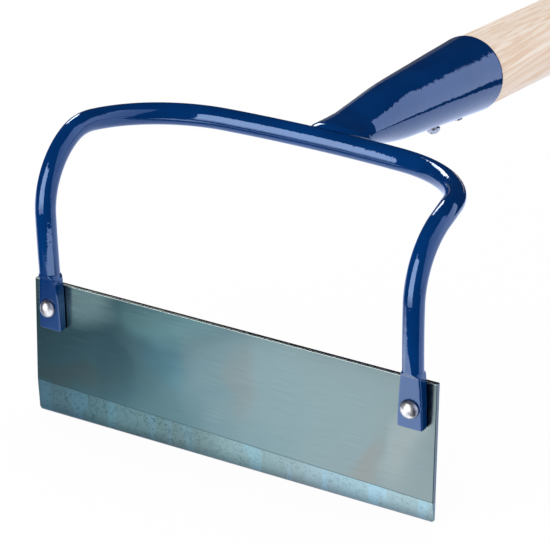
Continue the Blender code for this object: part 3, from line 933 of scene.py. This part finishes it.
def effect(tree, group, **inputs):
    """The outputs of a shared effect. Underscores in an input's name stand for spaces."""
    made = tree.nodes.new("ShaderNodeGroup")
    made.node_tree = group
    for key, value in inputs.items():
        socket = made.inputs[key.replace("_", " ").capitalize()]
        if isinstance(value, bpy.types.NodeSocket):
            tree.links.new(value, socket)
        else:
            socket.default_value = value
    return made.outputs


def clouds(tree, coords, scale, low=0.0, high=1.0):
    return effect(tree, CLOUDS, vector=coords, scale=scale, low=low, high=high)["Value"]


def enamel():
    material, tree, shader, coords = new_material("blue_enamel")
    deep, light = (0.0004, 0.022, 0.105, 1), (0.0006, 0.028, 0.130, 1)
    tree.links.new(blended(tree, clouds(tree, coords, 60.0), deep, light), shader.inputs["Base Color"])
    tree.links.new(clouds(tree, coords, 140.0, 0.03, 0.07), shader.inputs["Roughness"])
    peel = {"Height": clouds(tree, coords, 420.0), "Distance": 0.00002}
    tree.links.new(add_node(tree, "ShaderNodeBump", peel).outputs["Normal"], shader.inputs["Normal"])
    shader.inputs["Specular Tint"].default_value = (0.47, 0.66, 1.0, 1)
    shader.inputs["IOR"].default_value = 1.82
    return material


def patch(tree, x, z, centre_x, centre_z, half_width, half_height):
    """A soft oval patch on the plate: 1 in its middle, 0 past its edge."""
    across = maths(tree, "DIVIDE", maths(tree, "SUBTRACT", x, centre_x), half_width)
    up = maths(tree, "DIVIDE", maths(tree, "SUBTRACT", z, centre_z), half_height)
    reach = maths(tree, "SQRT", maths(tree, "ADD", maths(tree, "POWER", across, 2.0), maths(tree, "POWER", up, 2.0)))
    return ramp_between(tree, reach, 0.25, 1.0, 1.0, 0.0)


def ground_steel():
    """Rolled plate, brushed along its length, with heat tints, painted light (a glint, a sheen and a shade painted
    on the plate, a highlight and a dark line painted along its top) and a coarser ground bevel.
    """
    material, tree, shader, coords = new_material("ground_steel")
    split = add_node(tree, "ShaderNodeSeparateXYZ", {"Vector": coords}).outputs
    x, y, z = split["X"], split["Y"], split["Z"]
    drift = clouds(tree, coords, 26.0, -0.010, 0.010)
    across = maths(tree, "ADD", x, drift)
    up = maths(tree, "ADD", z, maths(tree, "MULTIPLY", drift, 0.6))

    colour = along_blade(tree, across, PLATE_COLOURS)
    # Heat tint patches, and painted light: a painted glint and sheen that lighten the top, and a painted shade below
    # the left lug
    for centre_x, centre_z, half_width, half_height, tint_and_light, share in PLATE_TINTS_AND_PAINTED_LIGHT:
        spot = patch(tree, across, up, centre_x, centre_z, half_width, half_height)
        tinted_and_lit = vectors(tree, "MULTIPLY", colour, tint_and_light)
        colour = blended(tree, maths(tree, "MULTIPLY", spot, share), colour, tinted_and_lit)

    brushed = effect(tree, FINE_LINES, vector=coords, stretch=(70.0, 70.0, 4200.0), depth=0.000006)
    shade = ramp_between(tree, brushed["Value"], 0.3, 0.7, 0.93, 1.07, False)
    colour = scaled(tree, colour, shade)

    line = maths(tree, "MULTIPLY", x, (BEVEL_HEIGHT_RIGHT - BEVEL_HEIGHT_LEFT) / BLADE_WIDTH)
    line = maths(tree, "ADD", line, (BEVEL_HEIGHT_RIGHT + BEVEL_HEIGHT_LEFT) / 2)
    below = maths(tree, "SUBTRACT", line, z)
    front = ramp_between(tree, y, BLADE_THICKNESS - 0.0003, BLADE_THICKNESS - 0.0002, 1.0, 0.0)
    bevel = maths(tree, "MULTIPLY", ramp_between(tree, below, -0.00005, 0.00010), front)
    edge_line = ramp_between(tree, maths(tree, "ABSOLUTE", below), 0.0, 0.00030, 1.0, 0.0)
    edge_line = maths(tree, "MULTIPLY", edge_line, front)

    ground = along_blade(tree, across, BEVEL_COLOURS)
    spot_space = {"Vector": coords, "Scale": (150.0, 0.0, 20.0)}
    spot_space = add_node(tree, "ShaderNodeMapping", spot_space).outputs["Vector"]
    band = ramp_between(tree, noise_value(tree, spot_space, 1.0, 1.0), 0.54, 0.58, 0.0, 0.7)
    ground = blended(tree, band, ground, vectors(tree, "MULTIPLY", ground, BEVEL_BLUE))
    mottle = noise_value(tree, coords, 800.0, 4.0, 0.75)
    worn = ramp_between(tree, across, -0.06, 0.04, 0.8, 0.35)
    specks = maths(tree, "MULTIPLY", ramp_between(tree, mottle, 0.50, 0.66), worn)
    ground = blended(tree, specks, ground, vectors(tree, "MULTIPLY", ground, BEVEL_SPECKS))
    colour = blended(tree, bevel, colour, ground)
    colour = blended(tree, maths(tree, "MULTIPLY", edge_line, 0.75), colour, (0.02, 0.04, 0.045, 1))
    honed = ramp_between(tree, z, HONED_HEIGHT, HONED_HEIGHT + 0.00012, 1.0, 0.0)
    colour = blended(tree, maths(tree, "MULTIPLY", honed, front), colour, HONED_COLOUR)
    # Painted highlight: a lighter strip along the top edge. Painted dark line: near-black on the rear of the top
    # face and at the left end
    top = ramp_between(tree, z, BLADE_HEIGHT - 0.00025, BLADE_HEIGHT - 0.00010)
    colour = blended(tree, top, colour, PAINTED_RIM_HIGHLIGHT)
    painted_dark_top = maths(tree, "MULTIPLY", top, ramp_between(tree, y, 0.0008, 0.0010))
    left_end = ramp_between(tree, x, -BLADE_WIDTH / 2 + 0.00008, -BLADE_WIDTH / 2 + 0.00018, 1.0, 0.0)
    colour = blended(tree, maths(tree, "MAXIMUM", painted_dark_top, left_end), colour, PAINTED_DARK_EDGE)
    tree.links.new(colour, shader.inputs["Base Color"])

    plate_rough = ramp_between(tree, brushed["Value"], 0.3, 0.7, 0.18, 0.26)
    bevel_rough = ramp_between(tree, mottle, 0.3, 0.7, 0.34, 0.50)
    rough = add_node(tree, "ShaderNodeMix", {0: bevel, 2: plate_rough, 3: bevel_rough}).outputs[0]
    rough = add_node(tree, "ShaderNodeMix", {0: top, 2: rough, 3: RIM_ROUGHNESS}).outputs[0]
    tree.links.new(rough, shader.inputs["Roughness"])
    pits = {"Height": maths(tree, "MULTIPLY", mottle, bevel), "Distance": 0.00002, "Normal": brushed["Normal"]}
    tree.links.new(add_node(tree, "ShaderNodeBump", pits).outputs["Normal"], shader.inputs["Normal"])
    shader.inputs["Metallic"].default_value = 1.0
    return material


def along_blade(tree, across, colours):
    """A colour that changes along the blade. Colours lists (x, red, green, blue)."""
    share = ramp_between(tree, across, -BLADE_WIDTH / 2, BLADE_WIDTH / 2, smooth=False)
    made = add_node(tree, "ShaderNodeValToRGB", {"Fac": share})
    stops = made.color_ramp.elements
    while len(stops) < len(colours):
        stops.new(0.5)
    for i, (x, *colour) in enumerate(colours):
        stops[i].position = x / BLADE_WIDTH + 0.5
        stops[i].color = (*colour, 1)
    made.color_ramp.interpolation = "B_SPLINE"
    return made.outputs["Color"]


# Colours along the plate and its bevel, as (x, red, green, blue)
PLATE_COLOURS = (
    (-0.080, 0.032, 0.072, 0.086),
    (-0.050, 0.030, 0.068, 0.080),
    (-0.020, 0.056, 0.102, 0.118),
    (0.010, 0.098, 0.146, 0.162),
    (0.040, 0.108, 0.154, 0.166),
    (0.080, 0.110, 0.142, 0.150),
)
BEVEL_COLOURS = (
    (-0.080, 0.060, 0.118, 0.145),
    (-0.062, 0.045, 0.092, 0.104),
    (-0.050, 0.054, 0.107, 0.123),
    (-0.034, 0.056, 0.100, 0.110),
    (-0.018, 0.072, 0.114, 0.122),
    (-0.003, 0.115, 0.185, 0.200),
    (0.013, 0.124, 0.187, 0.200),
    (0.029, 0.144, 0.192, 0.207),
    (0.045, 0.155, 0.240, 0.275),
    (0.060, 0.162, 0.248, 0.285),
    (0.080, 0.180, 0.250, 0.270),
)
# What a patch multiplies the plate by: heat tints (brown and blue), a lightening (grey), a painted glint and a
# painted sheen that lighten the top, and a painted shade; and what specks and bands multiply the bevel by
BROWN = (1.15, 0.88, 0.80)
BLUE = (0.82, 1.02, 1.10)
GREY = (2.10, 1.70, 1.60)
PAINTED_GLINT = (4.60, 3.40, 3.00)
PAINTED_SHEEN = (1.40, 1.50, 1.40)
PAINTED_SHADE = (0.70, 0.76, 0.80)
BEVEL_BLUE = (1.05, 1.18, 1.30)
BEVEL_SPECKS = (0.45, 0.50, 0.52)
HONED_COLOUR = (0.24, 0.24, 0.28, 1)
# A painted highlight along the top edge, and a painted dark line on the top's rear and the blade's left end
PAINTED_RIM_HIGHLIGHT = (0.34, 0.38, 0.37, 1)
RIM_ROUGHNESS = 0.42
PAINTED_DARK_EDGE = (0.015, 0.018, 0.020, 1)
# Heat tints and painted light as (x, z, half width, half height, multiplier, strength)
PLATE_TINTS_AND_PAINTED_LIGHT = (
    # Painted glint: lightens the plate's upper left by up to 4.6 times
    (-0.064, 0.050, 0.024, 0.016, PAINTED_GLINT, 1.0),
    # Painted sheen: lightens the plate's top, left of its middle
    (-0.030, 0.048, 0.022, 0.014, PAINTED_SHEEN, 1.0),
    (-0.066, 0.017, 0.018, 0.009, BROWN, 0.8),
    # Painted shade: darkens the plate below the left lug
    (-0.052, 0.024, 0.008, 0.022, PAINTED_SHADE, 0.6),
    (-0.028, 0.031, 0.018, 0.016, BLUE, 0.8),
    (0.006, 0.034, 0.014, 0.020, BROWN, 0.5),
    (0.062, 0.018, 0.010, 0.014, BROWN, 0.6),
    (0.074, 0.030, 0.010, 0.020, GREY, 0.2),
)


def bright_steel():
    material, tree, shader, coords = new_material("bright_steel")
    colour = blended(tree, clouds(tree, coords, 600.0), (0.38, 0.38, 0.41, 1), (0.55, 0.55, 0.58, 1))
    tree.links.new(colour, shader.inputs["Base Color"])
    tree.links.new(clouds(tree, coords, 500.0, 0.34, 0.48), shader.inputs["Roughness"])
    shader.inputs["Metallic"].default_value = 1.0
    return material


def ash_wood():
    """Pale wood with fine tan grain lines along the pole, some of them stronger."""
    material, tree, shader, coords = new_material("ash_wood")
    turn = (SOCKET_DIP, 0.0, 0.0)
    grain = effect(tree, FINE_LINES, vector=coords, stretch=(760.0, 6.0, 760.0), turn=turn, depth=0.00005)
    broad = effect(tree, FINE_LINES, vector=coords, stretch=(200.0, 3.0, 200.0), turn=turn, depth=0.0)
    line = ramp_between(tree, grain["Value"], 0.36, 0.60)
    colour = blended(tree, line, WOOD_LINES, WOOD_PALE)
    shade = ramp_between(tree, broad["Value"], 0.35, 0.65, 0.0, 0.40)
    colour = blended(tree, shade, colour, WOOD_TAN)
    tree.links.new(colour, shader.inputs["Base Color"])
    tree.links.new(ramp_between(tree, line, 0.0, 1.0, 0.65, 0.50), shader.inputs["Roughness"])
    tree.links.new(grain["Normal"], shader.inputs["Normal"])
    return material


WOOD_PALE = (0.92, 0.81, 0.71, 1)
WOOD_LINES = (0.78, 0.57, 0.42, 1)
WOOD_TAN = (0.82, 0.66, 0.53, 1)


# Studio and camera

def inside(tree, value, low, high, soft=0.02):
    """1 between low and high, 0 outside, with soft edges. The limits may be values or sockets."""
    above = maths(tree, "DIVIDE", maths(tree, "SUBTRACT", value, low), soft)
    below = maths(tree, "DIVIDE", maths(tree, "SUBTRACT", high, value), soft)
    both = maths(tree, "MINIMUM", above, below)
    return add_node(tree, "ShaderNodeClamp", {"Value": maths(tree, "ADD", both, 0.5)}).outputs["Result"]


def box_light(tree, heading, climb, left, right, low, high, lean_left=0.0, lean_right=0.0, soft=0.02):
    """A soft box between two headings and two heights, in degrees. Its sides may lean with height."""
    left_edge = maths(tree, "ADD", math.radians(left), maths(tree, "MULTIPLY", climb, lean_left))
    right_edge = maths(tree, "ADD", math.radians(right), maths(tree, "MULTIPLY", climb, lean_right))
    sideways = inside(tree, heading, left_edge, right_edge, soft)
    upright = inside(tree, climb, math.radians(low), math.radians(high))
    return maths(tree, "MULTIPLY", sideways, upright)


def make_world():
    """White to the camera. Gloss and metal see a dark room with soft boxes and a large pale panel."""
    world = bpy.data.worlds.new("studio")
    world.use_nodes = True
    tree = world.node_tree
    tree.nodes.clear()
    rays = add_node(tree, "ShaderNodeLightPath").outputs
    direction = add_node(tree, "ShaderNodeTexCoord").outputs["Generated"]
    split = add_node(tree, "ShaderNodeSeparateXYZ", {0: direction}).outputs
    heading = maths(tree, "ARCTAN2", split["X"], maths(tree, "MULTIPLY", split["Y"], -1.0))
    climb = maths(tree, "ARCSINE", split["Z"])
    front = box_light(tree, heading, climb, -40, 9, -23, 37, 0.0, -0.1)
    faded = ramp_between(tree, climb, math.radians(-22), math.radians(-5), FRONT_BOX_FOOT, 1.0)
    front = maths(tree, "MULTIPLY", front, faded)
    back = box_light(tree, heading, climb, -137, -121, 20, 36)
    sweep = box_light(tree, heading, climb, -146, -124, -14, 6, soft=0.15)
    low_panel = box_light(tree, heading, climb, 73, 150, -13, 34, -0.35, 0.3)
    high_panel = box_light(tree, heading, climb, 73, 123, 34, 58, -0.35)
    panel = maths(tree, "MAXIMUM", low_panel, high_panel)
    fading = ramp_between(tree, heading, math.radians(60), math.radians(130), 0.5, 1.0, False)
    panel = maths(tree, "MULTIPLY", panel, fading)
    light = maths(tree, "ADD", ROOM_LIGHT, maths(tree, "MULTIPLY", front, FRONT_BOX_LIGHT))
    light = maths(tree, "ADD", light, maths(tree, "MULTIPLY", back, BACK_BOX_LIGHT))
    light = maths(tree, "ADD", light, maths(tree, "MULTIPLY", sweep, SWEEP_LIGHT))
    white_light = scaled(tree, (1.0, 1.0, 1.0), light)
    panel_light = scaled(tree, PANEL_COLOUR, maths(tree, "MULTIPLY", panel, PANEL_LIGHT))
    light = vectors(tree, "ADD", white_light, panel_light)
    soft = add_node(tree, "ShaderNodeBackground", {"Color": (1, 1, 1, 1), "Strength": SOFT_LIGHT})
    mirrored = add_node(tree, "ShaderNodeBackground", {"Color": light, "Strength": 1.0})
    white = add_node(tree, "ShaderNodeBackground", {"Color": (1, 1, 1, 1), "Strength": 1.0})
    gloss = maths(tree, "MAXIMUM", rays["Is Glossy Ray"], rays["Is Transmission Ray"])
    lit = add_node(tree, "ShaderNodeMixShader", {0: gloss, 1: soft.outputs[0], 2: mirrored.outputs[0]})
    mix = add_node(
        tree, "ShaderNodeMixShader", {0: rays["Is Camera Ray"], 1: lit.outputs[0], 2: white.outputs[0]}
    )
    add_node(tree, "ShaderNodeOutputWorld", {"Surface": mix.outputs[0]})
    bpy.context.scene.world = world


def make_floor():
    """White to the camera with a faint shadow. Gloss sees two lit parts of it, and past the rest."""
    bpy.ops.mesh.primitive_plane_add(size=8.0, location=(0, 0, -0.0002))
    floor = bpy.context.object
    floor.name = "floor"
    material = bpy.data.materials.new("white_table")
    material.use_nodes = True
    tree = material.node_tree
    tree.nodes.clear()
    spot = add_node(tree, "ShaderNodeTexCoord").outputs["Object"]
    split = add_node(tree, "ShaderNodeSeparateXYZ", {0: spot}).outputs
    head_y = PLACE.translation.y
    edge = 0.01
    across = inside(tree, split["X"], -TABLE_HALF_WIDTH, TABLE_HALF_WIDTH, edge)
    along = inside(tree, split["Y"], head_y, head_y + TABLE_BACK, edge)
    behind = maths(tree, "MULTIPLY", across, along)
    left = inside(tree, split["X"], APRON_LEFT, 1.0, APRON_SOFTNESS)
    lean = maths(tree, "MULTIPLY", maths(tree, "SUBTRACT", split["Y"], head_y), APRON_LEAN)
    right = inside(tree, split["X"], -1.0, maths(tree, "ADD", lean, APRON_RIGHT), edge)
    along = inside(tree, split["Y"], head_y - APRON_REACH, head_y, edge)
    before = maths(tree, "MULTIPLY", maths(tree, "MULTIPLY", left, right), along)
    glow = blended(tree, before, TABLE_COLOUR, APRON_COLOUR)
    lit = maths(tree, "MAXIMUM", behind, before)
    diffuse = add_node(tree, "ShaderNodeBsdfDiffuse", {"Color": (0.92, 0.92, 0.92, 1)})
    white = add_node(tree, "ShaderNodeEmission", {"Color": (1, 1, 1, 1), "Strength": 1.0})
    table = add_node(tree, "ShaderNodeEmission", {"Color": glow, "Strength": 1.0})
    clear = add_node(tree, "ShaderNodeBsdfTransparent", {"Color": (1, 1, 1, 1)})
    mirrored = add_node(tree, "ShaderNodeMixShader", {0: lit, 1: clear.outputs[0], 2: table.outputs[0]})
    rays = add_node(tree, "ShaderNodeLightPath").outputs
    seen = maths(tree, "MULTIPLY", rays["Is Camera Ray"], 0.95)
    mix = add_node(tree, "ShaderNodeMixShader", {0: seen, 1: diffuse.outputs[0], 2: white.outputs[0]})
    gloss = maths(tree, "MAXIMUM", rays["Is Glossy Ray"], rays["Is Transmission Ray"])
    mix = add_node(tree, "ShaderNodeMixShader", {0: gloss, 1: mix.outputs[0], 2: mirrored.outputs[0]})
    add_node(tree, "ShaderNodeOutputMaterial", {"Surface": mix.outputs[0]})
    floor.data.materials.append(material)


def make_lamp():
    """The lamp that lights matt surfaces. Gloss sees the world's soft boxes instead."""
    lamp = bpy.data.lights.new("soft_lamp", "AREA")
    lamp.shape = "RECTANGLE"
    lamp.size = 0.9
    lamp.size_y = 0.9
    lamp.energy = LAMP_POWER
    box = bpy.data.objects.new("soft_lamp", lamp)
    bpy.context.scene.collection.objects.link(box)
    towards = Vector((-0.20, -0.90, 0.12)).normalized()
    box.location = PLACE @ Vector((0, 0.05, 0.1)) + towards * 1.2
    box.rotation_euler = towards.to_track_quat("Z", "Y").to_euler()
    box.visible_glossy = False
    box.visible_camera = False


ROOM_LIGHT = 0.01
SOFT_LIGHT = 0.98
FRONT_BOX_LIGHT = 5.2
FRONT_BOX_FOOT = 0.40
BACK_BOX_LIGHT = 9.0
SWEEP_LIGHT = 0.3
PANEL_LIGHT = 1.5
PANEL_COLOUR = (0.95, 1.05, 1.35)
TABLE_COLOUR = (0.95, 1.08, 1.42, 1)
TABLE_HALF_WIDTH = 0.42
TABLE_BACK = 0.36
APRON_COLOUR = (2.7, 2.7, 2.7, 1)
APRON_LEFT = -0.092
APRON_SOFTNESS = 0.09
APRON_RIGHT = 0.087
APRON_LEAN = 0.50
APRON_REACH = 0.102
LAMP_POWER = 9.0

CAMERA_PLACE = Vector((0.4934, -0.7985, 0.4896))
CAMERA_HEADING = math.radians(30.776)
CAMERA_DOWN = math.radians(23.982)
CAMERA_ROLL = math.radians(0.729)
CAMERA_LENS = 200.17


def make_camera():
    data = bpy.data.cameras.new("camera")
    data.sensor_width = 36.0
    data.lens = CAMERA_LENS
    data.clip_start = 0.05
    camera = bpy.data.objects.new("camera", data)
    bpy.context.scene.collection.objects.link(camera)
    turn = Matrix.Rotation(CAMERA_HEADING, 4, "Z")
    turn @= Matrix.Rotation(math.pi / 2 - CAMERA_DOWN, 4, "X")
    turn @= Matrix.Rotation(CAMERA_ROLL, 4, "Z")
    camera.matrix_world = PLACE @ Matrix.Translation(CAMERA_PLACE) @ turn
    bpy.context.scene.camera = camera


PLACE = tool_place()
BAR_TREE = bar_tree()
CLOUDS = cloudy_effect()
FINE_LINES = fine_lines_effect()

blue, ground, bright, ash = enamel(), ground_steel(), bright_steel(), ash_wood()
make_bow(blue)
make_blade(ground)
for sign in (-1, 1):
    make_rivet(sign, bright)
make_socket(blue)
make_upper_weld(blue)
make_lower_weld(blue)
make_handle(ash)
make_screw(bright)
make_nail(bright)
make_camera()
make_world()
make_floor()
make_lamp()
bpy.context.scene.view_settings.view_transform = "Standard"
